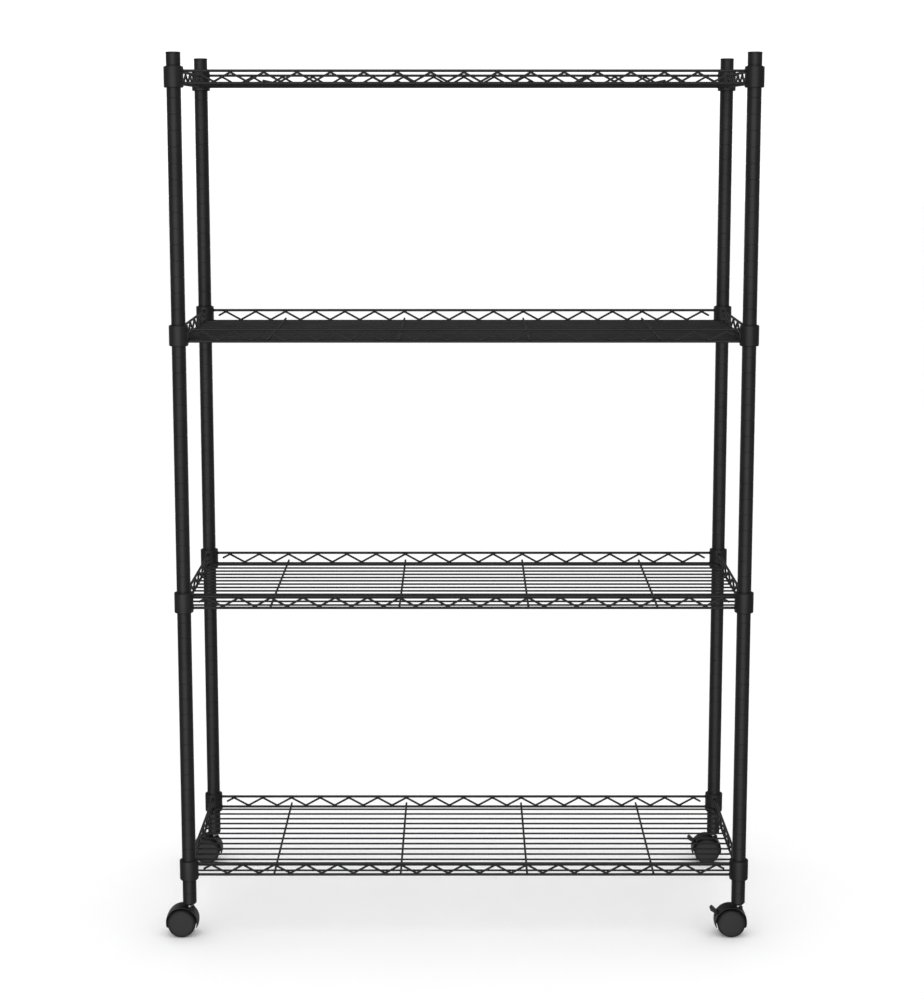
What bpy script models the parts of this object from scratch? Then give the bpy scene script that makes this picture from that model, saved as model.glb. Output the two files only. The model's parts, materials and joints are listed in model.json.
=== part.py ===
"""Four-shelf wire cart on twin-wheel casters. Metres, +Z up, X along the shelves, Y across them.

The origin lies on the floor, midway between the four posts. Each shelf is a welded wire frame with a
collar at every corner, and a welded wire mat on it. The collars wedge on tapered sleeves clipped round
the posts, so a shelf lifts off upwards. Each post stands on a caster that swivels about the post's axis.
"""

import math

import bmesh
import bpy
from mathutils import Matrix

# Overall size, over the corner collars and over the post caps
SHELF_LENGTH = 0.9144
SHELF_DEPTH = 0.3556
TOTAL_HEIGHT = 1.405
# Height of each shelf's upper rim wire, from the top shelf down
SHELF_HEIGHTS = (1.3762, 0.9808, 0.5578, 0.1180)

# Running clearance between neighbouring pieces
GAP = 0.0003
# Sides of a turned piece, with a flat facing each shelf edge, and of a wheel, with a flat on the floor
ROUND_SIDES = 12
WHEEL_SIDES = 16
# Faces of a turned piece that meet below this angle, in degrees, are shaded as one
SMOOTH_ANGLE = 40

# Posts: tube, cap and threaded foot
POST_RADIUS = 0.011
POST_WALL = 0.0012
CAP_RADIUS = 0.0115
CAP_THICKNESS = 0.003
PLUG_LENGTH = 0.012
FOOT_BOTTOM = 0.0505
FOOT_FLANGE = 0.0055
FOOT_CHAMFER = 0.0022
FOOT_PLUG_TOP = 0.075

# Shelf frame: wires stand in as square bars of the same section area
WIRE_SQUARE = math.sqrt(math.pi) / 2
RIM_WIRE = 0.0040 * WIRE_SQUARE
ZIGZAG_WIRE = 0.0032 * WIRE_SQUARE
MAT_WIRE = 0.0027 * WIRE_SQUARE
CROSS_WIRE = 0.0032 * WIRE_SQUARE
RIM_SPACING = 0.0185
ZIGZAG_PITCH = 0.0508
LONG_PEAKS = 17
SHORT_PEAKS = 6

# Mat: long wires along X, cross wires on top of them that reach past the long rims
MAT_WIRES = 13
MAT_PITCH = 0.0244
CROSS_WIRE_PLACES = (-0.3048, -0.1016, 0.1016, 0.3048)
CROSS_OVERHANG = 0.009
WELD_DEPTH = 0.0003

# Collar and the tapered sleeve in it, both wider towards the bottom
COLLAR_RADIUS = 0.015
COLLAR_ABOVE_RIM = 0.0056
COLLAR_BELOW_RIM = 0.0068
COLLAR_CHAMFER_HEIGHT = 0.0026
COLLAR_CHAMFER_WIDTH = 0.0012
RIM_END_IN_COLLAR = 0.0135
SLEEVE_TOP_RADIUS = 0.0123
SLEEVE_BOTTOM_RADIUS = 0.0128
SLEEVE_BORE_RADIUS = 0.01135
SLEEVE_PROUD = 0.0016
COLLAR_CLEARANCE = 0.00035

# Caster: stem on the post's axis, wheels trailing behind it
WHEEL_RADIUS = 0.0225
WHEEL_INNER_FACE = 0.0065
WHEEL_OUTER_FACE = 0.020
WHEEL_INNER_CHAMFER = 0.0010
WHEEL_SHOULDER_DROP = 0.0020
WHEEL_SHOULDER_WIDTH = 0.0040
WHEEL_DOME = 0.0012
CASTER_TRAIL = 0.012
AXLE_RADIUS = 0.003
AXLE_HALF_LENGTH = 0.0172
BORE_CLEARANCE = 0.00035
STEM_RADIUS = 0.004
STEM_BOTTOM = 0.0284
STEM_TOP = 0.0735
FENDER_OUTER = 0.026
FENDER_INNER = 0.024
FENDER_HALF_WIDTH = 0.0135
FENDER_FIRST_ANGLE = -20
FENDER_LAST_ANGLE = 200
FENDER_STEP = 20
WEB_HALF_WIDTH = 0.0062
WEB_FIRST_ANGLE = 20
WEB_LAST_ANGLE = 160
HUB_RADIUS = 0.009
HUB_FIRST_ANGLE = 200
HUB_LAST_ANGLE = 340
HUB_STEP = 35
BOSS_HALF_WIDTH = 0.0075
BOSS_LEFT = 0.0034
BOSS_TOP = 0.0464
BOSS_FIRST_ANGLE = 38
BOSS_LAST_ANGLE = 66
BOSS_STEP = 14

# Brake lever on the two right casters: it hangs on a pin between the wheels
BRAKE_PIVOT_X = -0.016
BRAKE_PIVOT_Z = 0.009
BRAKE_PIN_RADIUS = 0.0015
BRAKE_ANGLE = math.radians(142)
BRAKE_LENGTH = 0.0195
BRAKE_HALF_WIDTH = 0.0044
BRAKE_HALF_THICKNESS = 0.00275
KNUCKLE_RADIUS = 0.0034
KNUCKLE_FIRST_ANGLE = 60
KNUCKLE_LAST_ANGLE = 300
KNUCKLE_STEP = 40
PEDAL_START = 0.0098
PEDAL_HALF_WIDTH = 0.007
PEDAL_HALF_THICKNESS = 0.003
POCKET_HALF_WIDTH = 0.0048
POCKET_OUTLINE = (
    (-0.0201, 0.0181), (-0.0258, 0.0079), (-0.0195, 0.0040),
    (-0.0140, 0.0040), (-0.0114, 0.0090), (-0.0135, 0.0140),
)

POST_X = SHELF_LENGTH / 2 - COLLAR_RADIUS
POST_Y = SHELF_DEPTH / 2 - COLLAR_RADIUS
POST_TOP = TOTAL_HEIGHT - CAP_THICKNESS - GAP
POST_BOTTOM = FOOT_BOTTOM + FOOT_FLANGE + GAP
PLUG_RADIUS = POST_RADIUS - POST_WALL - GAP
WHEEL_CORNER_RADIUS = WHEEL_RADIUS / math.cos(math.pi / WHEEL_SIDES)
CORNERS = {
    "front_left": (-1, -1),
    "front_right": (1, -1),
    "rear_left": (-1, 1),
    "rear_right": (1, 1),
}
BRAKED_CORNERS = ("front_right", "rear_right")


def clear_scene():
    for thing in list(bpy.data.objects):
        bpy.data.objects.remove(thing, do_unlink=True)


def make_material(name, colour, roughness, metallic=0.0):
    material = bpy.data.materials.new(name)
    material.use_nodes = True
    shader = material.node_tree.nodes["Principled BSDF"]
    shader.inputs["Base Color"].default_value = (*colour, 1.0)
    shader.inputs["Roughness"].default_value = roughness
    shader.inputs["Metallic"].default_value = metallic
    return material


def finish_mesh(name, shape, smooth_angle=None):
    """Turn a bmesh into a mesh with outward faces, smooth where its faces meet below the angle."""
    bmesh.ops.recalc_face_normals(shape, faces=shape.faces)
    mesh = bpy.data.meshes.new(name)
    shape.to_mesh(mesh)
    shape.free()
    if smooth_angle is not None:
        mesh.shade_smooth()
        mesh.set_sharp_from_angle(angle=math.radians(smooth_angle))
    return mesh


def place(name, mesh, material, location, parent=None, turn_z=0.0):
    thing = bpy.data.objects.new(name, mesh)
    if not mesh.materials:
        mesh.materials.append(material)
    thing.location = location
    thing.rotation_euler = (0.0, 0.0, turn_z)
    thing.parent = parent
    bpy.context.collection.objects.link(thing)
    return thing


def place_empty(name, location):
    empty = bpy.data.objects.new(name, None)
    empty.location = location
    bpy.context.collection.objects.link(empty)
    return empty


def add_turned(shape, profile, sides=ROUND_SIDES, matrix=None):
    """Add a solid turned about Z. A profile of (radius, height) that starts and ends on the axis is
    a solid piece, and any other one is a closed ring."""
    first = len(shape.verts)
    rings = []
    for radius, height in profile:
        if radius == 0:
            rings.append([shape.verts.new((0.0, 0.0, height))] * sides)
            continue
        angles = [2 * math.pi * (side + 0.5) / sides for side in range(sides)]
        rings.append([
            shape.verts.new((radius * math.cos(angle), radius * math.sin(angle), height))
            for angle in angles
        ])
    pairs = list(zip(rings, rings[1:]))
    if profile[0][0] != 0:
        pairs.append((rings[-1], rings[0]))
    for lower, upper in pairs:
        for side in range(sides):
            after = (side + 1) % sides
            corners = [lower[side], lower[after], upper[after], upper[side]]
            shape.faces.new(list(dict.fromkeys(corners)))
    if matrix is not None:
        shape.verts.ensure_lookup_table()
        bmesh.ops.transform(shape, matrix=matrix, verts=shape.verts[first:])


def add_plate(shape, outlines, half_width, matrix=None):
    """Add a plate: outlines of (x, z) points that meet edge to edge, thickened along Y."""
    corners = {}
    for point in [point for outline in outlines for point in outline]:
        if point not in corners:
            x, z = point
            corners[point] = (shape.verts.new((x, -half_width, z)), shape.verts.new((x, half_width, z)))
    front_faces = []
    for outline in outlines:
        front_faces.append(shape.faces.new([corners[point][0] for point in outline]))
        shape.faces.new([corners[point][1] for point in reversed(outline)])
    back_of = dict(corners.values())
    front_edges = [edge for face in front_faces for edge in face.edges]
    for edge in [edge for edge in front_edges if len(edge.link_faces) == 1]:
        a, b = edge.verts
        shape.faces.new((a, b, back_of[b], back_of[a]))
    if matrix is not None:
        moved = [vertex for pair in corners.values() for vertex in pair]
        bmesh.ops.transform(shape, matrix=matrix, verts=moved)


def add_bar(shape, low, high):
    """Add a box between two opposite corners."""
    (x0, y0, z0), (x1, y1, z1) = low, high
    outline = ((x0, z0), (x1, z0), (x1, z1), (x0, z1))
    add_plate(shape, [outline], (y1 - y0) / 2, Matrix.Translation((0.0, (y0 + y1) / 2, 0.0)))


def arc(radius, first, last, step):
    """Points of an arc in degrees, both ends included."""
    count = round((last - first) / step)
    angles = [math.radians(first + (last - first) * i / count) for i in range(count + 1)]
    return [(radius * math.cos(angle), radius * math.sin(angle)) for angle in angles]


def boolean(base, operand, operation):
    """Join two bmeshes, or cut the second from the first, and give the result as a new bmesh."""
    things = []
    for shape in (base, operand):
        thing = bpy.data.objects.new("operand", finish_mesh("operand", shape))
        bpy.context.collection.objects.link(thing)
        things.append(thing)
    modifier = things[0].modifiers.new("boolean", "BOOLEAN")
    modifier.operation = operation
    modifier.solver = "EXACT"
    modifier.object = things[1]
    depsgraph = bpy.context.evaluated_depsgraph_get()
    evaluated = things[0].evaluated_get(depsgraph)
    result = bmesh.new()
    result.from_mesh(evaluated.to_mesh())
    evaluated.to_mesh_clear()
    for thing in things:
        mesh = thing.data
        bpy.data.objects.remove(thing, do_unlink=True)
        bpy.data.meshes.remove(mesh)
    return result


def truss_outlines(half_length, peaks):
    """One shelf edge as outlines that meet: two rim wires with a zigzag between them.

    The lower rim's middle is at z = 0. The zigzag runs from peak to peak, and past the last peak at
    each end it stops halfway down.
    """
    low_edge = RIM_WIRE / 2
    high_edge = RIM_SPACING - RIM_WIRE / 2
    slope = math.atan2(high_edge - low_edge, ZIGZAG_PITCH / 2)
    along_rim = ZIGZAG_WIRE / 2 / math.sin(slope)
    inward = ZIGZAG_WIRE / 2 / math.cos(slope)
    last_peak = ZIGZAG_PITCH * (peaks - 1) / 2
    bends = []
    for index in range(2 * peaks - 1):
        x = -last_peak + index * ZIGZAG_PITCH / 2
        rim, inner = (high_edge, -inward) if index % 2 == 0 else (low_edge, inward)
        bends.append(((x - along_rim, rim), (x + along_rim, rim), (x, rim + inner)))
    outlines = [list(bend) for bend in bends]
    for (_, left_out, left_in), (right_out, _, right_in) in zip(bends, bends[1:]):
        outlines.append([left_out, right_in, right_out, left_in])
    stub_x = last_peak + ZIGZAG_PITCH / 4
    stub_z = (low_edge + high_edge) / 2
    across_x = ZIGZAG_WIRE / 2 * math.sin(slope)
    across_z = ZIGZAG_WIRE / 2 * math.cos(slope)
    for side, (left_out, right_out, inner) in ((-1, bends[0]), (1, bends[-1])):
        lower = (side * (stub_x - across_x), stub_z - across_z)
        upper = (side * (stub_x + across_x), stub_z + across_z)
        outlines.append([right_out if side > 0 else left_out, upper, lower, inner])
    for rim, outer, parity in ((low_edge, -low_edge, 1), (high_edge, RIM_SPACING + low_edge, 0)):
        inner_points = [point for bend in bends[parity::2] for point in bend[:2]]
        ends = [(half_length, rim), (half_length, outer), (-half_length, outer), (-half_length, rim)]
        outlines.append(inner_points + ends)
    return outlines


def collar_profile():
    top = RIM_SPACING + COLLAR_ABOVE_RIM
    bottom = -COLLAR_BELOW_RIM
    return (
        (SLEEVE_TOP_RADIUS + COLLAR_CLEARANCE, top),
        (COLLAR_RADIUS, top),
        (COLLAR_RADIUS, bottom + COLLAR_CHAMFER_HEIGHT),
        (COLLAR_RADIUS - COLLAR_CHAMFER_WIDTH, bottom),
        (SLEEVE_BOTTOM_RADIUS + COLLAR_CLEARANCE, bottom),
    )


def shelf_frame_mesh():
    """Four collars joined by a zigzag edge along each side; z = 0 is the lower rim wire."""
    edges = bmesh.new()
    long_edge = truss_outlines(POST_X - RIM_END_IN_COLLAR, LONG_PEAKS)
    short_edge = truss_outlines(POST_Y - RIM_END_IN_COLLAR, SHORT_PEAKS)
    quarter_turn = Matrix.Rotation(math.pi / 2, 4, "Z")
    for side in (-1, 1):
        add_plate(edges, long_edge, RIM_WIRE / 2, Matrix.Translation((0.0, side * POST_Y, 0.0)))
        shift = Matrix.Translation((side * POST_X, 0.0, 0.0))
        add_plate(edges, short_edge, RIM_WIRE / 2, shift @ quarter_turn)
    collars = bmesh.new()
    for side_x, side_y in CORNERS.values():
        matrix = Matrix.Translation((side_x * POST_X, side_y * POST_Y, 0.0))
        add_turned(collars, collar_profile(), matrix=matrix)
    return finish_mesh("shelf_frame", boolean(collars, edges, "UNION"))


def shelf_mat_mesh():
    """Long wires with four cross wires welded on top, which rest on the long rims."""
    cross_low = RIM_WIRE / 2 + GAP
    cross_high = cross_low + CROSS_WIRE
    wire_high = cross_low + WELD_DEPTH
    wire_low = wire_high - MAT_WIRE
    wire_end = POST_X - RIM_WIRE / 2 - GAP
    cross_end = POST_Y + CROSS_OVERHANG
    wires = bmesh.new()
    for index in range(MAT_WIRES):
        y = (index - (MAT_WIRES - 1) / 2) * MAT_PITCH
        low = (-wire_end, y - MAT_WIRE / 2, wire_low)
        add_bar(wires, low, (wire_end, y + MAT_WIRE / 2, wire_high))
    cross_wires = bmesh.new()
    for x in CROSS_WIRE_PLACES:
        low = (x - CROSS_WIRE / 2, -cross_end, cross_low)
        add_bar(cross_wires, low, (x + CROSS_WIRE / 2, cross_end, cross_high))
    return finish_mesh("shelf_mat", boolean(wires, cross_wires, "UNION"))


def sleeve_mesh():
    """Tapered ring round the post; z = 0 is the lower rim wire's middle."""
    top = RIM_SPACING + COLLAR_ABOVE_RIM + SLEEVE_PROUD
    shape = bmesh.new()
    add_turned(shape, (
        (SLEEVE_BORE_RADIUS, top),
        (SLEEVE_TOP_RADIUS, top),
        (SLEEVE_BOTTOM_RADIUS, -COLLAR_BELOW_RIM),
        (SLEEVE_BORE_RADIUS, -COLLAR_BELOW_RIM),
    ))
    return finish_mesh("sleeve", shape, SMOOTH_ANGLE)


def post_mesh():
    shape = bmesh.new()
    inner = POST_RADIUS - POST_WALL
    length = POST_TOP - POST_BOTTOM
    add_turned(shape, ((inner, 0.0), (POST_RADIUS, 0.0), (POST_RADIUS, length), (inner, length)))
    return finish_mesh("post", shape, SMOOTH_ANGLE)


def cap_mesh():
    """Plug in the post's top end with a flange over the tube; z = 0 is the flange's underside."""
    shape = bmesh.new()
    add_turned(shape, (
        (0.0, -PLUG_LENGTH),
        (PLUG_RADIUS, -PLUG_LENGTH),
        (PLUG_RADIUS, 0.0),
        (CAP_RADIUS, 0.0),
        (CAP_RADIUS, CAP_THICKNESS),
        (0.0, CAP_THICKNESS),
    ))
    return finish_mesh("cap", shape, SMOOTH_ANGLE)


def foot_mesh():
    """Threaded insert in the post's bottom end; z = 0 is its underside."""
    bore = STEM_RADIUS + BORE_CLEARANCE
    plug_top = FOOT_PLUG_TOP - FOOT_BOTTOM
    shape = bmesh.new()
    add_turned(shape, (
        (bore, plug_top),
        (PLUG_RADIUS, plug_top),
        (PLUG_RADIUS, FOOT_FLANGE),
        (POST_RADIUS, FOOT_FLANGE),
        (POST_RADIUS, FOOT_CHAMFER),
        (POST_RADIUS - FOOT_CHAMFER, 0.0),
        (bore, 0.0),
    ))
    return finish_mesh("foot", shape, SMOOTH_ANGLE)


def stem_mesh():
    shape = bmesh.new()
    length = STEM_TOP - STEM_BOTTOM
    add_turned(shape, ((0.0, 0.0), (STEM_RADIUS, 0.0), (STEM_RADIUS, length), (0.0, length)))
    return finish_mesh("stem", shape, SMOOTH_ANGLE)


def lying(y=0.0):
    """Matrix that lays a piece turned about Z along +Y, starting at y."""
    return Matrix.Translation((0.0, y, 0.0)) @ Matrix.Rotation(-math.pi / 2, 4, "X")


def axle_mesh():
    shape = bmesh.new()
    length = 2 * AXLE_HALF_LENGTH
    profile = ((0.0, 0.0), (AXLE_RADIUS, 0.0), (AXLE_RADIUS, length), (0.0, length))
    add_turned(shape, profile, matrix=lying(-AXLE_HALF_LENGTH))
    return finish_mesh("axle", shape, SMOOTH_ANGLE)


def wheel_mesh():
    """Domed wheel on the +Y side of the hub, with a blind bore that opens towards the hub."""
    bore = AXLE_RADIUS + BORE_CLEARANCE
    outer = WHEEL_CORNER_RADIUS
    shape = bmesh.new()
    add_turned(shape, (
        (0.0, AXLE_HALF_LENGTH + BORE_CLEARANCE),
        (bore, AXLE_HALF_LENGTH + BORE_CLEARANCE),
        (bore, WHEEL_INNER_FACE),
        (outer - WHEEL_INNER_CHAMFER, WHEEL_INNER_FACE),
        (outer, WHEEL_INNER_FACE + WHEEL_INNER_CHAMFER),
        (outer, WHEEL_OUTER_FACE - WHEEL_SHOULDER_WIDTH),
        (outer - WHEEL_SHOULDER_DROP, WHEEL_OUTER_FACE - WHEEL_DOME),
        (0.0, WHEEL_OUTER_FACE),
    ), sides=WHEEL_SIDES, matrix=lying())
    return finish_mesh("wheel", shape, SMOOTH_ANGLE)


def hood_mesh(braked):
    """Fender over the wheels, web between them and boss round the stem; the origin is on the axle."""
    fender_middle = (FENDER_OUTER + FENDER_INNER) / 2
    stem_x = CASTER_TRAIL
    boss_top = BOSS_TOP - WHEEL_RADIUS
    outer_arc = arc(FENDER_OUTER, FENDER_FIRST_ANGLE, FENDER_LAST_ANGLE, FENDER_STEP)
    inner_arc = arc(FENDER_INNER, FENDER_FIRST_ANGLE, FENDER_LAST_ANGLE, FENDER_STEP)
    hood = bmesh.new()
    add_plate(hood, [outer_arc + inner_arc[::-1]], FENDER_HALF_WIDTH)
    web = bmesh.new()
    web_outline = arc(fender_middle, WEB_FIRST_ANGLE, WEB_LAST_ANGLE, FENDER_STEP)
    web_outline += arc(HUB_RADIUS, HUB_FIRST_ANGLE, HUB_LAST_ANGLE, HUB_STEP)
    add_plate(web, [web_outline], WEB_HALF_WIDTH)
    hood = boolean(hood, web, "UNION")
    boss = bmesh.new()
    boss_outline = arc(fender_middle, BOSS_FIRST_ANGLE, BOSS_LAST_ANGLE, BOSS_STEP)
    boss_outline += [(stem_x - BOSS_LEFT, boss_top), (stem_x + BOSS_HALF_WIDTH, boss_top)]
    add_plate(boss, [boss_outline], BOSS_HALF_WIDTH)
    hood = boolean(hood, boss, "UNION")
    cutter = bmesh.new()
    bore = STEM_RADIUS + BORE_CLEARANCE
    bore_bottom = STEM_BOTTOM - GAP - WHEEL_RADIUS
    bore_profile = ((0.0, bore_bottom), (bore, bore_bottom), (bore, TOTAL_HEIGHT), (0.0, TOTAL_HEIGHT))
    add_turned(cutter, bore_profile, matrix=Matrix.Translation((stem_x, 0.0, 0.0)))
    axle_bore = AXLE_RADIUS + BORE_CLEARANCE
    length = 2 * WHEEL_INNER_FACE
    axle_profile = ((0.0, 0.0), (axle_bore, 0.0), (axle_bore, length), (0.0, length))
    add_turned(cutter, axle_profile, matrix=lying(-WHEEL_INNER_FACE))
    if braked:
        add_plate(cutter, [POCKET_OUTLINE], POCKET_HALF_WIDTH)
    hood = boolean(hood, cutter, "DIFFERENCE")
    if braked:
        pin = bmesh.new()
        pin_end = (POCKET_HALF_WIDTH + WEB_HALF_WIDTH) / 2
        pin_profile = (
            (0.0, 0.0), (BRAKE_PIN_RADIUS, 0.0), (BRAKE_PIN_RADIUS, 2 * pin_end), (0.0, 2 * pin_end)
        )
        place_pin = Matrix.Translation((BRAKE_PIVOT_X, 0.0, BRAKE_PIVOT_Z))
        add_turned(pin, pin_profile, matrix=place_pin @ lying(-pin_end))
        hood = boolean(hood, pin, "UNION")
    return finish_mesh("hood_braked" if braked else "hood", hood)


def brake_mesh():
    """Lever from the pivot pin out through the fender, with a wider pedal; the origin is the pin."""
    turn = Matrix.Rotation(-BRAKE_ANGLE, 4, "Y")
    knuckle = arc(KNUCKLE_RADIUS, KNUCKLE_FIRST_ANGLE, KNUCKLE_LAST_ANGLE, KNUCKLE_STEP)
    arm = [(BRAKE_LENGTH - GAP, -BRAKE_HALF_THICKNESS), (BRAKE_LENGTH - GAP, BRAKE_HALF_THICKNESS)]
    lever = bmesh.new()
    add_plate(lever, [knuckle + arm], BRAKE_HALF_WIDTH, turn)
    pedal = bmesh.new()
    pedal_outline = [
        (PEDAL_START, -PEDAL_HALF_THICKNESS),
        (BRAKE_LENGTH, -PEDAL_HALF_THICKNESS),
        (BRAKE_LENGTH, PEDAL_HALF_THICKNESS),
        (PEDAL_START, PEDAL_HALF_THICKNESS),
    ]
    add_plate(pedal, [pedal_outline], PEDAL_HALF_WIDTH, turn)
    hole = bmesh.new()
    bore = BRAKE_PIN_RADIUS + BORE_CLEARANCE
    length = 2 * PEDAL_HALF_WIDTH
    hole_profile = ((0.0, 0.0), (bore, 0.0), (bore, length), (0.0, length))
    add_turned(hole, hole_profile, matrix=lying(-PEDAL_HALF_WIDTH))
    return finish_mesh("brake", boolean(boolean(lever, pedal, "UNION"), hole, "DIFFERENCE"))


def build_posts(coated, plastic):
    post, cap, foot = post_mesh(), cap_mesh(), foot_mesh()
    for corner, (side_x, side_y) in CORNERS.items():
        x, y = side_x * POST_X, side_y * POST_Y
        place(f"post_{corner}", post, coated, (x, y, POST_BOTTOM))
        place(f"cap_{corner}", cap, plastic, (x, y, TOTAL_HEIGHT - CAP_THICKNESS))
        place(f"foot_{corner}", foot, plastic, (x, y, FOOT_BOTTOM))


def build_shelves(coated, plastic):
    frame, mat, sleeve = shelf_frame_mesh(), shelf_mat_mesh(), sleeve_mesh()
    for number, height in enumerate(SHELF_HEIGHTS, start=1):
        lower_rim = height - RIM_SPACING
        shelf = place_empty(f"shelf_{number}", (0.0, 0.0, lower_rim))
        place(f"shelf_{number}_frame", frame, coated, (0.0, 0.0, 0.0), shelf)
        place(f"shelf_{number}_mat", mat, coated, (0.0, 0.0, 0.0), shelf)
        for corner, (side_x, side_y) in CORNERS.items():
            location = (side_x * POST_X, side_y * POST_Y, lower_rim)
            place(f"sleeve_{number}_{corner}", sleeve, plastic, location)


def build_casters(plastic, wheel_plastic, zinc):
    hoods = {braked: hood_mesh(braked) for braked in (False, True)}
    stem, axle, wheel, brake = stem_mesh(), axle_mesh(), wheel_mesh(), brake_mesh()
    for corner, (side_x, side_y) in CORNERS.items():
        x, y = side_x * POST_X, side_y * POST_Y
        braked = corner in BRAKED_CORNERS
        place(f"stem_{corner}", stem, zinc, (x, y, STEM_BOTTOM))
        swivel = place_empty(f"swivel_{corner}", (x, y, 0.0))
        hub = (-CASTER_TRAIL, 0.0, WHEEL_RADIUS)
        place(f"hood_{corner}", hoods[braked], plastic, hub, swivel)
        place(f"axle_{corner}", axle, zinc, hub, swivel)
        place(f"wheel_{corner}_far", wheel, wheel_plastic, hub, swivel)
        place(f"wheel_{corner}_near", wheel, wheel_plastic, hub, swivel, turn_z=math.pi)
        if braked:
            pivot = (BRAKE_PIVOT_X - CASTER_TRAIL, 0.0, WHEEL_RADIUS + BRAKE_PIVOT_Z)
            place(f"brake_{corner}", brake, plastic, pivot, swivel)


def main():
    clear_scene()
    coated = make_material("black_powder_coat", (0.022, 0.022, 0.023), roughness=0.45)
    plastic = make_material("black_plastic", (0.018, 0.018, 0.019), roughness=0.5)
    wheel_plastic = make_material("wheel_plastic", (0.028, 0.028, 0.030), roughness=0.4)
    zinc = make_material("zinc_plated_steel", (0.72, 0.72, 0.70), roughness=0.3, metallic=1.0)
    build_posts(coated, plastic)
    build_shelves(coated, plastic)
    build_casters(plastic, wheel_plastic, zinc)


main()
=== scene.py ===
"""Looks of the four-shelf wire cart: round grooved posts, bent and welded wires, turned and moulded
plastic, in a plain studio. Metres, +Z up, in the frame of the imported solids."""

import json
import math

import bmesh
import bpy
from mathutils import Matrix, Vector


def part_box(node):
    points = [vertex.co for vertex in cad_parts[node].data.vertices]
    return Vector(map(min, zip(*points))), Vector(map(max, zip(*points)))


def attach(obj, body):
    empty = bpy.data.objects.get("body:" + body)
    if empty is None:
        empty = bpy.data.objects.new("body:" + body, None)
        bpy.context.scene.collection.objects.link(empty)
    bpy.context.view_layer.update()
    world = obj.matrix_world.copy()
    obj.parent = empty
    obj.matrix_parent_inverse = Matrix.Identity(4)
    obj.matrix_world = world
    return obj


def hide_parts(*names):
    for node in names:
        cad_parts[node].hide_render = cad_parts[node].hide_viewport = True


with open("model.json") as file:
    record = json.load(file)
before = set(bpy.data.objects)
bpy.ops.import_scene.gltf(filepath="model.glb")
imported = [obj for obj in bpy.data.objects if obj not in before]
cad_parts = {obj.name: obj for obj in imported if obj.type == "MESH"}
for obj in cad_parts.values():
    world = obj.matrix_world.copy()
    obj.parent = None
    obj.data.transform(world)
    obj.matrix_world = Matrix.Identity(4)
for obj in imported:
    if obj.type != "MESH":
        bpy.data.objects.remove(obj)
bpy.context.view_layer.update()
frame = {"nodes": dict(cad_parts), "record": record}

# Sides of a turned piece, of a wire and of a weld bead
ROUND_SIDES = 64
RIM_SIDES = 20
CROSS_SIDES = 16
THIN_WIRE_SIDES = 14
BEAD_SIDES = 10

# Corners of the cart, as (x side, y side)
CORNERS = {
    "front_left": (-1, -1),
    "front_right": (1, -1),
    "rear_left": (-1, 1),
    "rear_right": (1, 1),
}
BRAKED_CORNERS = ("front_right", "rear_right")
SHELVES = (1, 2, 3, 4)
# The solid mat's top above the middle of the lower rim wire
MAT_TOP = 0.004908


def middle(node):
    """Centre of a solid's box."""
    low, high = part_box(node)
    return (Vector(low) + Vector(high)) / 2


def lower_rim(number):
    """Height of the middle of a shelf's lower rim wires."""
    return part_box(f"shelf_{number}_mat")[1][2] - MAT_TOP


POST_X = middle("post_front_right").x
POST_Y = middle("post_rear_right").y
TOTAL_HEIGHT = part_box("cap_front_left")[1][2]
FOOT_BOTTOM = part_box("foot_front_left")[0][2]

# Measures that several kinds of piece share
POST_RADIUS = 0.011
COLLAR_RADIUS = 0.015
COLLAR_ABOVE_RIM = 0.0066
COLLAR_BELOW_RIM = 0.0068
STEM_RADIUS = 0.004
WHEEL_RADIUS = 0.0225
CASTER_TRAIL = 0.012


# ---- Mesh building ----

# Rings that round off a wire's end: share of its radius, and inset in radii
WIRE_END = ((0.55, 0.0), (0.9, 0.35), (1.0, 1.0))
BEND_STEPS = 5
EDGE_ANGLES = (0, 22.5, 45, 67.5, 90)


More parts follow.
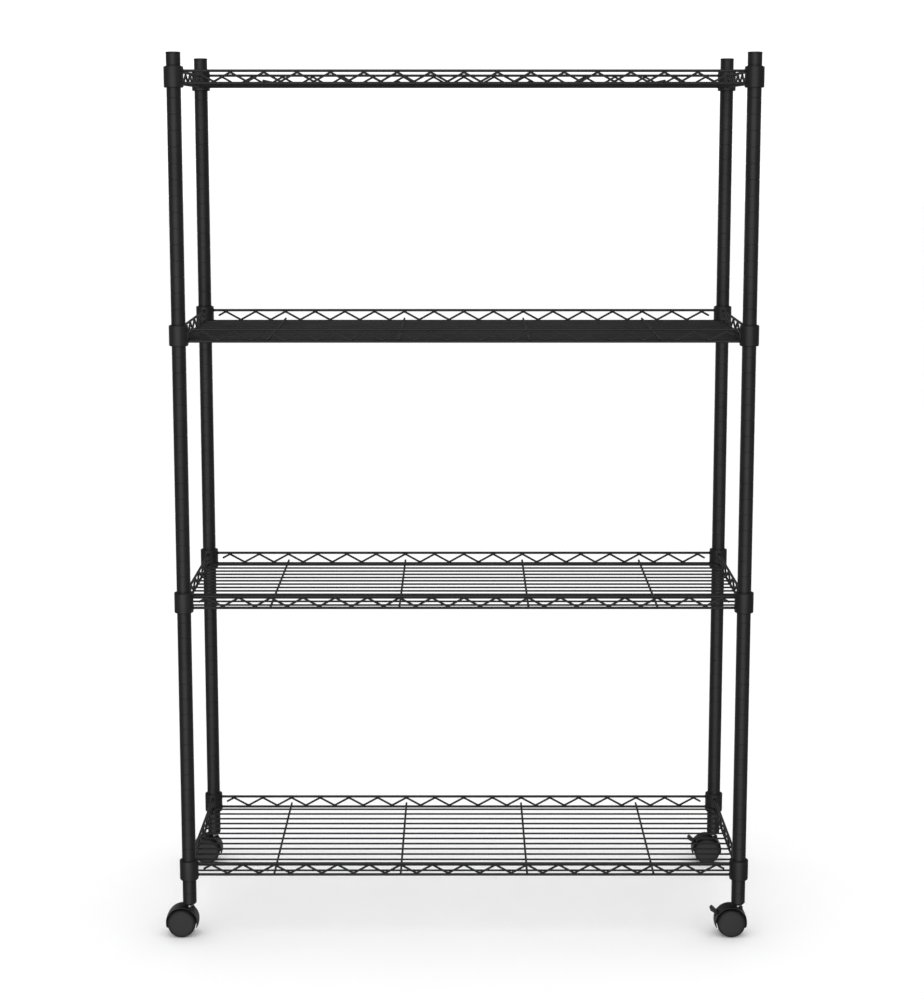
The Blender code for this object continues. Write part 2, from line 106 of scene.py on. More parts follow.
class Shape:
    """Points and faces gathered for one mesh."""

    def __init__(self):
        self.points = []
        self.faces = []

    def loft(self, rings, closed=False):
        """Join rings of points in order, capped at both ends or, if closed, last ring to first."""
        first = len(self.points)
        sides = len(rings[0])
        for ring in rings:
            self.points.extend(ring)
        pairs = [(index, index + 1) for index in range(len(rings) - 1)]
        if closed:
            pairs.append((len(rings) - 1, 0))
        for low, high in pairs:
            for side in range(sides):
                after = (side + 1) % sides
                self.faces.append((
                    first + low * sides + side, first + low * sides + after,
                    first + high * sides + after, first + high * sides + side,
                ))
        if not closed:
            self.faces.append(tuple(first + side for side in reversed(range(sides))))
            last = first + (len(rings) - 1) * sides
            self.faces.append(tuple(last + side for side in range(sides)))

    def turned(self, profile, sides=ROUND_SIDES, hollow=False, matrix=Matrix()):
        """Turn a profile of (radius, height) about Z."""
        rings = []
        for radius, height in profile:
            rings.append([
                matrix @ Vector((radius * math.cos(angle), radius * math.sin(angle), height))
                for angle in (2 * math.pi * side / sides for side in range(sides))
            ])
        self.loft(rings, closed=hollow)

    def wire(self, path, radius, sides):
        """Sweep a round wire along a path, with rounded ends."""
        path = [Vector(point) for point in path]
        tangents = []
        for index in range(len(path)):
            before, after = path[max(index - 1, 0)], path[min(index + 1, len(path) - 1)]
            tangents.append((after - before).normalized())
        up = tangents[0].orthogonal().normalized()
        rings = []
        for index, (point, tangent) in enumerate(zip(path, tangents)):
            up = (up - tangent * up.dot(tangent)).normalized()
            side_way = tangent.cross(up)
            steps = [(1.0, 0.0)]
            if index == 0:
                steps = [(scale, radius * inset) for scale, inset in WIRE_END]
            elif index == len(path) - 1:
                steps = [(scale, -radius * inset) for scale, inset in reversed(WIRE_END)]
            for scale, offset in steps:
                centre = point + tangent * offset
                rings.append([
                    centre + (up * math.cos(angle) + side_way * math.sin(angle)) * radius * scale
                    for angle in (2 * math.pi * side / sides for side in range(sides))
                ])
        self.loft(rings)

    def bead(self, centre, size, rows=5):
        """Small ellipsoid of those half sizes, for a weld."""
        centre, size = Vector(centre), Vector(size)
        around = [2 * math.pi * side / BEAD_SIDES for side in range(BEAD_SIDES)]
        rings = []
        for row in range(rows):
            lift = math.pi * (row + 0.5) / rows
            rings.append([
                centre + Vector((
                    size.x * math.sin(lift) * math.cos(angle),
                    size.y * math.sin(lift) * math.sin(angle),
                    -size.z * math.cos(lift),
                ))
                for angle in around
            ])
        self.loft(rings)

    def mesh(self, name, sharp_angle=35):
        """Finished mesh, shaded smooth but for edges sharper than the angle, in degrees."""
        mesh = bpy.data.meshes.new(name)
        mesh.from_pydata([tuple(point) for point in self.points], [], self.faces)
        shape = bmesh.new()
        shape.from_mesh(mesh)
        bmesh.ops.recalc_face_normals(shape, faces=shape.faces)
        shape.to_mesh(mesh)
        shape.free()
        mesh.shade_smooth()
        mesh.set_sharp_from_angle(angle=math.radians(sharp_angle))
        return mesh


def rounded(points, radius):
    """Path through the points with each inner corner turned into an arc of that radius."""
    points = [Vector(point) for point in points]
    path = [points[0]]
    for before, corner, after in zip(points, points[1:], points[2:]):
        way_in, way_out = (corner - before).normalized(), (after - corner).normalized()
        half_turn = way_in.angle(way_out) / 2
        reach = radius * math.tan(half_turn)
        start, end = corner - way_in * reach, corner + way_out * reach
        centre = corner + (way_out - way_in).normalized() * radius / math.cos(half_turn)
        for step in range(BEND_STEPS + 1):
            share = step / BEND_STEPS
            direction = (start - centre).normalized().slerp((end - centre).normalized(), share)
            path.append(centre + direction * radius)
    path.append(points[-1])
    return path


def rounded_edge(radius, height, across, along, angles=EDGE_ANGLES):
    """Outer edge of a turned profile, rounded; along is negative at a lower edge."""
    return [
        (radius - across * (1 - math.cos(angle)), height - along * (1 - math.sin(angle)))
        for angle in (math.radians(degrees) for degrees in angles)
    ]


# ---- Pieces on their bodies ----

BODY_OF = {
    node: body
    for body, nodes in frame["record"]["behaviour"]["bodies"].items()
    for node in nodes
}


def add_piece(name, mesh, material, node, location, turn_z=0.0):
    """Show a piece in place of a CAD node, on that node's body."""
    piece = bpy.data.objects.new(name, mesh)
    if not mesh.materials:
        mesh.materials.append(material)
    piece.location = location
    piece.rotation_euler = (0, 0, turn_z)
    bpy.context.collection.objects.link(piece)
    bpy.context.view_layer.update()
    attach(piece, BODY_OF[node])
    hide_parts(node)


# ---- Materials ----

# Parts of a noise's spread that a colour ramp and a range cover
RAMP_SPAN = (0.35, 0.65)
RANGE_SPAN = (0.3, 0.7)


def new_material(name):
    """Material with its nodes, links and shader."""
    material = bpy.data.materials.new(name)
    material.use_nodes = True
    nodes = material.node_tree.nodes
    shader = nodes["Principled BSDF"]
    return material, nodes, material.node_tree.links, shader


def add_noise(nodes, links, coordinates, scale, detail, roughness=0.5):
    """Noise on the piece's own coordinates, with the scale in cells per metre."""
    noise = nodes.new("ShaderNodeTexNoise")
    noise.inputs["Scale"].default_value = scale
    noise.inputs["Detail"].default_value = detail
    noise.inputs["Roughness"].default_value = roughness
    links.new(coordinates.outputs["Object"], noise.inputs["Vector"])
    return noise.outputs["Fac"]


def add_ramp(nodes, links, factor, dark, light):
    """Colour between two tones, over the middle of the noise's spread."""
    ramp = nodes.new("ShaderNodeValToRGB")
    for element, place, tone in zip(ramp.color_ramp.elements, RAMP_SPAN, (dark, light)):
        element.position = place
        element.color = (*tone, 1.0)
    links.new(factor, ramp.inputs["Fac"])
    return ramp.outputs["Color"]


def add_range(nodes, links, value, low, high):
    """Noise brought to a range, for instance of roughness."""
    spread = nodes.new("ShaderNodeMapRange")
    spread.inputs["From Min"].default_value = RANGE_SPAN[0]
    spread.inputs["From Max"].default_value = RANGE_SPAN[1]
    spread.inputs["To Min"].default_value = low
    spread.inputs["To Max"].default_value = high
    links.new(value, spread.inputs["Value"])
    return spread.outputs["Result"]


def add_bump(nodes, links, height, strength, distance, below=None):
    """Bump of that depth in metres, on top of another bump if there is one below."""
    bump = nodes.new("ShaderNodeBump")
    bump.inputs["Strength"].default_value = strength
    bump.inputs["Distance"].default_value = distance
    links.new(height, bump.inputs["Height"])
    if below is not None:
        links.new(below, bump.inputs["Normal"])
    return bump.outputs["Normal"]


def powder_coat():
    """Satin black powder coat: orange-peel skin, fine grit and slow shifts of tone."""
    material, nodes, links, shader = new_material("powder_coat_black")
    coordinates = nodes.new("ShaderNodeTexCoord")
    cloud = add_noise(nodes, links, coordinates, 14.0, 3.0)
    peel = add_noise(nodes, links, coordinates, 750.0, 2.0)
    grit = add_noise(nodes, links, coordinates, 3200.0, 1.0)
    colour = add_ramp(nodes, links, cloud, (0.0085, 0.0085, 0.009), (0.0125, 0.0125, 0.013))
    links.new(colour, shader.inputs["Base Color"])
    links.new(add_range(nodes, links, peel, 0.40, 0.50), shader.inputs["Roughness"])
    skin = add_bump(nodes, links, peel, 0.35, 0.0001)
    links.new(add_bump(nodes, links, grit, 0.15, 0.00003, skin), shader.inputs["Normal"])
    return material


def moulded_plastic(name, dark, light, roughness):
    """Moulded plastic: spark-eroded grain with faint flow marks."""
    material, nodes, links, shader = new_material(name)
    coordinates = nodes.new("ShaderNodeTexCoord")
    flow = add_noise(nodes, links, coordinates, 45.0, 3.0, 0.6)
    grain = add_noise(nodes, links, coordinates, 2600.0, 2.0)
    links.new(add_ramp(nodes, links, flow, dark, light), shader.inputs["Base Color"])
    spread = add_range(nodes, links, flow, roughness - 0.04, roughness + 0.06)
    links.new(spread, shader.inputs["Roughness"])
    links.new(add_bump(nodes, links, grain, 0.3, 0.00004), shader.inputs["Normal"])
    return material


def zinc_plate():
    """Bright zinc on steel, with cloudy passivation and a fine grain."""
    material, nodes, links, shader = new_material("zinc_plate")
    coordinates = nodes.new("ShaderNodeTexCoord")
    cloud = add_noise(nodes, links, coordinates, 220.0, 3.0)
    colour = add_ramp(nodes, links, cloud, (0.76, 0.76, 0.74), (0.90, 0.90, 0.88))
    links.new(colour, shader.inputs["Base Color"])
    links.new(add_range(nodes, links, cloud, 0.34, 0.46), shader.inputs["Roughness"])
    fine = add_noise(nodes, links, coordinates, 5000.0, 1.0)
    links.new(add_bump(nodes, links, fine, 0.2, 0.00002), shader.inputs["Normal"])
    shader.inputs["Metallic"].default_value = 1.0
    return material


PLASTIC_LIGHT = (0.0115, 0.0115, 0.012)

COATED = powder_coat()
PLASTIC = moulded_plastic("plastic_black", (0.008, 0.008, 0.0085), PLASTIC_LIGHT, 0.48)
WHEEL_PLASTIC = moulded_plastic("plastic_wheel", (0.0085, 0.0085, 0.009), PLASTIC_LIGHT, 0.46)
ZINC = zinc_plate()


# ---- Posts, caps, feet and stems ----

POST_WALL = 0.0012
GROOVE_PITCH = 0.0248
GROOVE_HALF_WIDTH = 0.0007
GROOVE_FLOOR_SHARE = 0.4
GROOVE_DEPTH = 0.00035
TOP_GROOVE = 1.3852

# Profiles of the cap and the insert, as (radius, height)
CAP_RADIUS = 0.0113
CAP_EDGE = 0.0012
CAP_EDGE_TOP = -0.0004
CAP_PLUG_PROFILE = [
    (0.0088, -0.0150), (0.0095, -0.0142), (0.0095, -0.0030), (CAP_RADIUS, -0.0030),
]
CAP_DOME_PROFILE = [(0.0080, -0.00015), (0.0040, -0.00003), (0.0006, 0.0)]

FOOT_BORE = STEM_RADIUS + 0.00025
FOOT_PROFILE = [
    (FOOT_BORE, 0.0245), (0.0095, 0.0245), (0.0095, 0.0057), (0.0108, 0.0057), (0.0110, 0.0054),
    (0.0110, 0.0030), (0.0107, 0.0024), (0.0090, 0.0005), (0.0084, 0.0001), (0.0078, 0.0),
    (0.0052, 0.0), (FOOT_BORE, 0.0008),
]

STEM_SIDES = 40
THREAD_START = 0.0475
THREAD_RUN_IN = 0.0004
THREAD_PITCH = 0.00125
THREAD_DEPTH = 0.0003
CREST_BELOW_SHANK = 0.0001
ROWS_PER_PITCH = 8


def post_mesh(bottom, top):
    """Tube with a shallow rolled groove at every pitch; z is the height above the floor."""
    outer = [(POST_RADIUS, bottom)]
    floor_half = GROOVE_HALF_WIDTH * GROOVE_FLOOR_SHARE
    count = int((TOP_GROOVE - bottom) / GROOVE_PITCH)
    for index in range(count, -1, -1):
        height = TOP_GROOVE - index * GROOVE_PITCH
        outer += [
            (POST_RADIUS, height - GROOVE_HALF_WIDTH),
            (POST_RADIUS - GROOVE_DEPTH, height - floor_half),
            (POST_RADIUS - GROOVE_DEPTH, height + floor_half),
            (POST_RADIUS, height + GROOVE_HALF_WIDTH),
        ]
    outer.append((POST_RADIUS, top))
    inner = POST_RADIUS - POST_WALL
    shape = Shape()
    shape.turned(outer + [(inner, top), (inner, bottom)], hollow=True)
    return shape.mesh("post_tube", 20)


def cap_mesh():
    """Cap with a rounded rim and a slightly domed top, on a plug; z = 0 is its top."""
    rim = rounded_edge(CAP_RADIUS, CAP_EDGE_TOP, CAP_EDGE, CAP_EDGE)
    shape = Shape()
    shape.turned(CAP_PLUG_PROFILE + rim + CAP_DOME_PROFILE)
    return shape.mesh("post_cap")


def foot_mesh():
    """Insert with a chamfered collar, bored for the stem; z = 0 is its underside."""
    shape = Shape()
    shape.turned(FOOT_PROFILE, hollow=True)
    return shape.mesh("post_foot")


def stem_mesh(bottom, top):
    """Stem with a plain shank in the hood and a fine V thread above it."""
    around = [2 * math.pi * side / STEM_SIDES for side in range(STEM_SIDES)]
    rings = [[
        Vector((STEM_RADIUS * math.cos(angle), STEM_RADIUS * math.sin(angle), height))
        for angle in around
    ] for height in (bottom, THREAD_START - THREAD_RUN_IN)]
    rows = int((top - THREAD_START) / THREAD_PITCH * ROWS_PER_PITCH)
    for row in range(rows + 1):
        height = THREAD_START + row * THREAD_PITCH / ROWS_PER_PITCH
        ring = []
        for side, angle in enumerate(around):
            turn = (row / ROWS_PER_PITCH - side / STEM_SIDES) % 1.0
            depth = THREAD_DEPTH * abs(2 * turn - 1)
            radius = STEM_RADIUS - CREST_BELOW_SHANK - depth
            ring.append(Vector((radius * math.cos(angle), radius * math.sin(angle), height)))
        rings.append(ring)
    shape = Shape()
    shape.loft(rings)
    return shape.mesh("caster_stem", 50)


def build_posts():
    """Four posts, each with its cap, its insert and the caster's stem."""
    post_low, post_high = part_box("post_front_left")
    tube = post_mesh(post_low[2], post_high[2])
    cap, foot = cap_mesh(), foot_mesh()
    stem_low, stem_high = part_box("stem_front_left")
    stem = stem_mesh(stem_low[2], stem_high[2])
    for corner, (side_x, side_y) in CORNERS.items():
        x, y = side_x * POST_X, side_y * POST_Y
        add_piece(f"tube_{corner}", tube, COATED, f"post_{corner}", (x, y, 0))
        add_piece(f"top_cap_{corner}", cap, PLASTIC, f"cap_{corner}", (x, y, TOTAL_HEIGHT))
        add_piece(f"insert_{corner}", foot, PLASTIC, f"foot_{corner}", (x, y, FOOT_BOTTOM))
        add_piece(f"threaded_stem_{corner}", stem, ZINC, f"stem_{corner}", (x, y, 0))


# ---- Shelves ----

RIM_RADIUS = 0.0021
ZIGZAG_RADIUS = 0.0017
MAT_RADIUS = 0.0015
CROSS_RADIUS = 0.0017
RIM_SPACING = 0.0185

# Zigzag: its bends reach into the rims, and are drawn past them before they are rounded
ZIGZAG_PITCH = 0.0508
LONG_PEAKS = 17
SHORT_PEAKS = 6
ZIGZAG_REACH = 0.0009
BEND_RADIUS = 0.0040
BEND_OVERDRAW = 0.16

MAT_WIRES = 13
MAT_PITCH = 0.0244
MAT_END_SHARE = 0.6
CROSS_WIRE_PLACES = (-0.3048, -0.1016, 0.1016, 0.3048)
CROSS_OVERHANG = 0.009

# Weld beads, as half sizes, and how far two welded wires sink into each other
WELD_DEPTH = 0.00025
BEND_WELD = (0.0026, 0.0013, 0.0011)
WIRE_END_WELD = (0.0011, 0.0018, 0.0014)
CROSSING_WELD = (0.0015, 0.0013, 0.0007)
RIM_CROSSING_WELD = (0.0018, 0.0018, 0.0009)
COLLAR_WELD_DEPTH = 0.0016
COLLAR_WELD_HEIGHT = 0.0028

COLLAR_BORE = 0.0130
COLLAR_TOP_ROUND = 0.0009
COLLAR_FOOT_ROUND = (0.0012, 0.0016)
# Height of the lips at both ends of the bore, and how far they stand in or flare out
COLLAR_LIP = 0.0006
COLLAR_LIP_IN = 0.0003
COLLAR_FLARE_FOOT = 0.0004
COLLAR_FLARE_TOP = 0.0002

# Sleeve profile, as (radius, distance from its top or its bottom)
SLEEVE_PROUD = 0.0010
SLEEVE_BELOW_COLLAR = 0.0002
SLEEVE_BORE = POST_RADIUS + 0.00015
SLEEVE_TOP_PROFILE = ((SLEEVE_BORE, 0.0), (0.0121, 0.0), (0.0124, 0.0004), (0.01245, 0.0012))
SLEEVE_FOOT_PROFILE = ((0.0128, 0.0006), (0.0126, 0.0), (SLEEVE_BORE, 0.0))
# The sleeve's inner rib, as (radius, height above the lower rim)
SLEEVE_RIB = SLEEVE_BORE - 0.0003
SLEEVE_RIB_PROFILE = (
    (SLEEVE_BORE, 0.004), (SLEEVE_RIB, 0.0046), (SLEEVE_RIB, 0.0056), (SLEEVE_BORE, 0.0062),
)
SLEEVE_SLIT_DEGREES = 1.6
SLEEVE_STEPS = 30


def add_edge(shape, half_length, peaks, matrix):
    """Two rim wires and the bent wire between them, along X, with a weld at every bend."""
    for height in (0.0, RIM_SPACING):
        ends = [matrix @ Vector((side * half_length, 0, height)) for side in (-1, 1)]
        shape.wire(ends, RIM_RADIUS, RIM_SIDES)
    low = RIM_RADIUS + ZIGZAG_RADIUS - ZIGZAG_REACH
    high = RIM_SPACING - low
    last_peak = ZIGZAG_PITCH * (peaks - 1) / 2
    overdraw = BEND_RADIUS * BEND_OVERDRAW
    points = [Vector((-last_peak - ZIGZAG_PITCH / 4, 0, RIM_SPACING / 2))]
    for index in range(2 * peaks - 1):
        height = high + overdraw if index % 2 == 0 else low - overdraw
        points.append(Vector((-last_peak + index * ZIGZAG_PITCH / 2, 0, height)))
    points.append(Vector((last_peak + ZIGZAG_PITCH / 4, 0, RIM_SPACING / 2)))
    path = [matrix @ point for point in rounded(points, BEND_RADIUS)]
    shape.wire(path, ZIGZAG_RADIUS, THIN_WIRE_SIDES)
    size = matrix.to_3x3() @ Vector(BEND_WELD)
    size = Vector((abs(size.x), abs(size.y), abs(size.z)))
    for index in range(2 * peaks - 1):
        height = RIM_SPACING - RIM_RADIUS if index % 2 == 0 else RIM_RADIUS
        centre = matrix @ Vector((-last_peak + index * ZIGZAG_PITCH / 2, 0, height))
        shape.bead(centre, size)


def add_collar(shape, x, y):
    """Pressed collar with rolled edges and a bore that flares at its foot."""
    top = RIM_SPACING + COLLAR_ABOVE_RIM
    bottom = -COLLAR_BELOW_RIM
    profile = [(COLLAR_BORE - COLLAR_LIP_IN, top - COLLAR_LIP), (COLLAR_BORE, top)]
    top_round = COLLAR_TOP_ROUND
    profile += rounded_edge(COLLAR_RADIUS, top, top_round, top_round, reversed(EDGE_ANGLES))
    across, along = COLLAR_FOOT_ROUND
    profile += rounded_edge(COLLAR_RADIUS, bottom, across, -along)
    profile.append((COLLAR_BORE + COLLAR_FLARE_FOOT, bottom))
    profile.append((COLLAR_BORE + COLLAR_FLARE_TOP, bottom + COLLAR_LIP))
    shape.turned(profile, hollow=True, matrix=Matrix.Translation((x, y, 0)))


def add_collar_welds(shape, x, y, side_x, side_y):
    """Fillets where the rim wires run into a collar."""
    depth, wide = COLLAR_WELD_DEPTH, COLLAR_WELD_HEIGHT
    for height in (0.0, RIM_SPACING):
        shape.bead((x - side_x * COLLAR_RADIUS, y, height), (depth, wide, wide))
        shape.bead((x, y - side_y * COLLAR_RADIUS, height), (wide, depth, wide))


def frame_mesh():
    """Wire edges on the four sides and a collar at each corner; z = 0 is the lower rim."""
    shape = Shape()
    wall = (COLLAR_RADIUS + COLLAR_BORE) / 2
    quarter_turn = Matrix.Rotation(math.pi / 2, 4, "Z")
    for side in (-1, 1):
        long_place = Matrix.Translation((0, side * POST_Y, 0))
        add_edge(shape, POST_X - wall, LONG_PEAKS, long_place)
        short_place = Matrix.Translation((side * POST_X, 0, 0)) @ quarter_turn
        add_edge(shape, POST_Y - wall, SHORT_PEAKS, short_place)
    for side_x, side_y in CORNERS.values():
        add_collar(shape, side_x * POST_X, side_y * POST_Y)
        add_collar_welds(shape, side_x * POST_X, side_y * POST_Y, side_x, side_y)
    return shape.mesh("shelf_frame_wires", 50)


def mat_mesh():
    """Long wires butt-welded to the end rims, and cross wires pressed into them from above."""
    shape = Shape()
    cross_height = RIM_RADIUS + CROSS_RADIUS - WELD_DEPTH
    wire_height = cross_height - CROSS_RADIUS - MAT_RADIUS + WELD_DEPTH
    wire_end = POST_X - RIM_RADIUS * MAT_END_SHARE
    cross_end = POST_Y + CROSS_OVERHANG
    places = [(index - (MAT_WIRES - 1) / 2) * MAT_PITCH for index in range(MAT_WIRES)]
    for y in places:
        ends = [(side * wire_end, y, wire_height) for side in (-1, 1)]
        shape.wire(ends, MAT_RADIUS, THIN_WIRE_SIDES)
        for side in (-1, 1):
            shape.bead((side * (POST_X - RIM_RADIUS), y, wire_height), WIRE_END_WELD)
    for x in CROSS_WIRE_PLACES:
        ends = [(x, side * cross_end, cross_height) for side in (-1, 1)]
        shape.wire(ends, CROSS_RADIUS, CROSS_SIDES)
        weld_height = cross_height - CROSS_RADIUS + WELD_DEPTH
        for y in places:
            shape.bead((x, y, weld_height), CROSSING_WELD, rows=4)
        for side in (-1, 1):
            shape.bead((x, side * POST_Y, weld_height), RIM_CROSSING_WELD, rows=4)
    return shape.mesh("shelf_mat_wires", 50)


def sleeve_mesh():
    """Two tapered half sleeves with a slit between them on each side; z = 0 is the lower rim."""
    top = RIM_SPACING + COLLAR_ABOVE_RIM + SLEEVE_PROUD
    bottom = -COLLAR_BELOW_RIM - SLEEVE_BELOW_COLLAR
    profile = [(radius, top - down) for radius, down in SLEEVE_TOP_PROFILE]
    profile += [(radius, bottom + up) for radius, up in SLEEVE_FOOT_PROFILE]
    profile += SLEEVE_RIB_PROFILE
    shape = Shape()
    slit = math.radians(SLEEVE_SLIT_DEGREES)
    for half in (0, 1):
        rings = []
        for step in range(SLEEVE_STEPS + 1):
            angle = half * math.pi + slit + (math.pi - 2 * slit) * step / SLEEVE_STEPS
            rings.append([
                Vector((radius * math.cos(angle), radius * math.sin(angle), height))
                for radius, height in profile
            ])
        shape.loft(rings)
    return shape.mesh("split_sleeve")


def build_shelves():
    """Four shelves, each with its wire frame, its mat and four sleeves."""
    wires, mat, sleeve = frame_mesh(), mat_mesh(), sleeve_mesh()
    for number in SHELVES:
        height = lower_rim(number)
        add_piece(f"edge_wires_{number}", wires, COATED, f"shelf_{number}_frame", (0, 0, height))
        add_piece(f"deck_wires_{number}", mat, COATED, f"shelf_{number}_mat", (0, 0, height))
        for corner, (side_x, side_y) in CORNERS.items():
            name, node = f"split_sleeve_{number}_{corner}", f"sleeve_{number}_{corner}"
            add_piece(name, sleeve, PLASTIC, node, (side_x * POST_X, side_y * POST_Y, height))


# ---- Casters ----

# Wheel profile, as (radius, distance from the hood's middle plane), from the bore out and round
WHEEL_SIDES = 72
WHEEL_BORE = 0.0032
WHEEL_BORE_END = 0.0175
WHEEL_POLE = 0.0005
WHEEL_PROFILE = [
    (WHEEL_POLE, WHEEL_BORE_END), (WHEEL_BORE, WHEEL_BORE_END), (WHEEL_BORE, 0.0065),
    (0.0205, 0.0065), (0.0215, 0.0067), (0.0222, 0.0073), (0.0225, 0.0083),
    (0.0225, 0.0150), (0.02235, 0.0162), (0.0220, 0.0173), (0.0214, 0.0182), (0.0206, 0.0189),
    (0.0197, 0.0192), (0.0190, 0.0193), (0.0187, 0.01905), (0.0184, 0.01905), (0.0181, 0.01935),
    (0.0140, 0.0197), (0.0080, 0.01990), (0.0040, 0.01997), (WHEEL_POLE, 0.0200),
]

# A plate's edges are rounded off in two steps, the first of them this share of the rounding
EDGE_BREAK = 0.3

# Fender: a band over both wheels, with a crown across it and rounded tips; angles in degrees
FENDER_OUTER = 0.0262
FENDER_INNER = 0.0240
FENDER_HALF_WIDTH = 0.0135
FENDER_ANGLES = (-20, 200)
FENDER_BANDS = 60
FENDER_ACROSS = 9
FENDER_CROWN = 0.0009
FENDER_EDGE_INSET = 0.0006
TIP_STEPS = (0.0, 0.4, 1.2, 2.6, 5.0)
TIP_SPAN = TIP_STEPS[-1]
TIP_NARROWING = 0.0022
TIP_THINNEST = 0.45

# Web between the wheels, as arcs over the fender and under the axle, in degrees
WEB_HALF_WIDTH = 0.0060
WEB_ARC = (20, 160, 5)
HUB_RADIUS = 0.009
HUB_ARC = (200, 340, 14)
WEB_ROUNDING = 0.0004

# Stem boss, as (radius, distance below its top), and what is cut out of the hood
BOSS_TOP = 0.0464
BOSS_SIDES = 48
BOSS_PROFILE = (
    (0.0086, 0.0150), (0.0083, 0.0070), (0.0079, 0.0030), (0.0077, 0.0010), (0.0074, 0.0003),
    (0.0067, 0.0),
)
STEM_BORE = STEM_RADIUS + 0.0003
STEM_BORE_SPAN = (0.0055, 0.05)
WELL_RADIUS = 0.0238
WELL_END = 0.03
WELL_SIDES = 96
LEVER_SLOT = (
    (-0.0203, 0.0184), (-0.0263, 0.0079), (-0.0195, 0.0040),
    (-0.0140, 0.0040), (-0.0114, 0.0090), (-0.0135, 0.0140),
)
LEVER_SLOT_HALF_WIDTH = 0.0048

# Brake lever: outlines as (along the lever, across it) from its pin
BRAKE_PIVOT = (-0.016, 0, 0.009)
BRAKE_ANGLE = math.radians(142)
KNUCKLE_RADIUS = 0.0033
KNUCKLE_ARC = (60, 300, 15)
ARM_OUTLINE = [(0.0100, -0.0024), (0.0110, -0.0025), (0.0110, 0.0025), (0.0100, 0.0024)]
ARM_HALF_WIDTH = 0.0043
ARM_ROUNDING = 0.0005
PEDAL_OUTLINE = [
    (0.0098, -0.0022), (0.0140, -0.0027), (0.0190, -0.0030), (0.0202, -0.0026),
    (0.0207, -0.0012), (0.0206, 0.0014), (0.0199, 0.0026), (0.0185, 0.0030),
    (0.0150, 0.0027), (0.0098, 0.0021),
]
PEDAL_HALF_WIDTH = 0.0070
PEDAL_ROUNDING = 0.0007


def lying():
    """Matrix that lays a piece turned about Z along +Y."""
    return Matrix.Rotation(-math.pi / 2, 4, "X")


def wheel_mesh():
    """Domed disc with a rounded tread and a rim step, on the +Y side of the hub."""
    shape = Shape()
    shape.turned(WHEEL_PROFILE, sides=WHEEL_SIDES, matrix=lying())
    return shape.mesh("twin_wheel", 30)


def add_slab(shape, outline, half_width, rounding):
    """Plate of (x, z) points thickened along Y, its two outer edges rounded off."""
    centre = Vector((
        sum(x for x, _ in outline) / len(outline), 0, sum(z for _, z in outline) / len(outline),
    ))
    first = rounding * EDGE_BREAK
    rings = []
    for y, inset in (
        (-half_width, rounding), (-half_width + first, first), (-half_width + rounding, 0.0),
        (half_width - rounding, 0.0), (half_width - first, first), (half_width, rounding),
    ):
        ring = []
        for x, z in outline:
            point = Vector((x, 0, z))
            inward = (centre - point).normalized() * inset
            ring.append(point + inward + Vector((0, y, 0)))
        rings.append(ring)
    shape.loft(rings)


def arc(radius, first, last, step):
    """Points of an arc about the origin, its angles in degrees."""
    count = max(1, round(abs(last - first) / step))
    angles = [math.radians(first + (last - first) * index / count) for index in range(count + 1)]
    return [(radius * math.cos(angle), radius * math.sin(angle)) for angle in angles]


def fender_ring(angle, half_width, outer):
    """Cross-section of the fender: a thin crowned band with rounded edges."""
    corner = (outer - FENDER_INNER) / 2
    middle_radius = (outer + FENDER_INNER) / 2
    flat_half = half_width - corner

    def edge(side, turns):
        """Rounded edge on one side of the band, through those angles in degrees."""
        swings = [math.radians(turn) for turn in turns]
        return [(
            middle_radius + corner * math.cos(swing) - FENDER_EDGE_INSET,
            side * flat_half + corner * math.sin(swing),
        ) for swing in swings]

    shares = [-1 + 2 * index / (FENDER_ACROSS - 1) for index in range(FENDER_ACROSS)]
    points = [(outer - FENDER_CROWN * share ** 4, share * flat_half) for share in shares]
    points += edge(1, (30, 90, 150))
    points += [(FENDER_INNER, -share * flat_half) for share in shares]
    points += edge(-1, (210, 270, 330))
    return [Vector((radius * math.cos(angle), y, radius * math.sin(angle))) for radius, y in points]


def add_fender(shape):
    """Band over both wheels, with rounded ends."""
    first, last = FENDER_ANGLES
    bands = [first + step for step in TIP_STEPS]
    for index in range(1, FENDER_BANDS):
        bands.append(first + TIP_SPAN + (last - first - 2 * TIP_SPAN) * index / FENDER_BANDS)
    bands += [last - step for step in reversed(TIP_STEPS)]
    rings = []
    for degrees in bands:
        to_tip = min(min(degrees - first, last - degrees) / TIP_SPAN, 1.0)
        roundness = math.sqrt(1 - (1 - to_tip) ** 2)
        half_width = FENDER_HALF_WIDTH - TIP_NARROWING * (1 - roundness)
        thickness_share = TIP_THINNEST + (1 - TIP_THINNEST) * roundness
        outer = FENDER_INNER + (FENDER_OUTER - FENDER_INNER) * thickness_share
        rings.append(fender_ring(math.radians(degrees), half_width, outer))
    shape.loft(rings)


def combine(base, operand, operation):
    """Mesh of one closed shape joined with another, or cut by it."""
    holders = []
    for mesh in (base, operand):
        holder = bpy.data.objects.new("operand", mesh)
        bpy.context.collection.objects.link(holder)
        holders.append(holder)
    modifier = holders[0].modifiers.new("combine", "BOOLEAN")
    modifier.operation = operation
    modifier.solver = "EXACT"
    modifier.object = holders[1]
    evaluated = holders[0].evaluated_get(bpy.context.evaluated_depsgraph_get())
    result = bpy.data.meshes.new_from_object(evaluated)
    for holder in holders:
        bpy.data.objects.remove(holder)
    return result


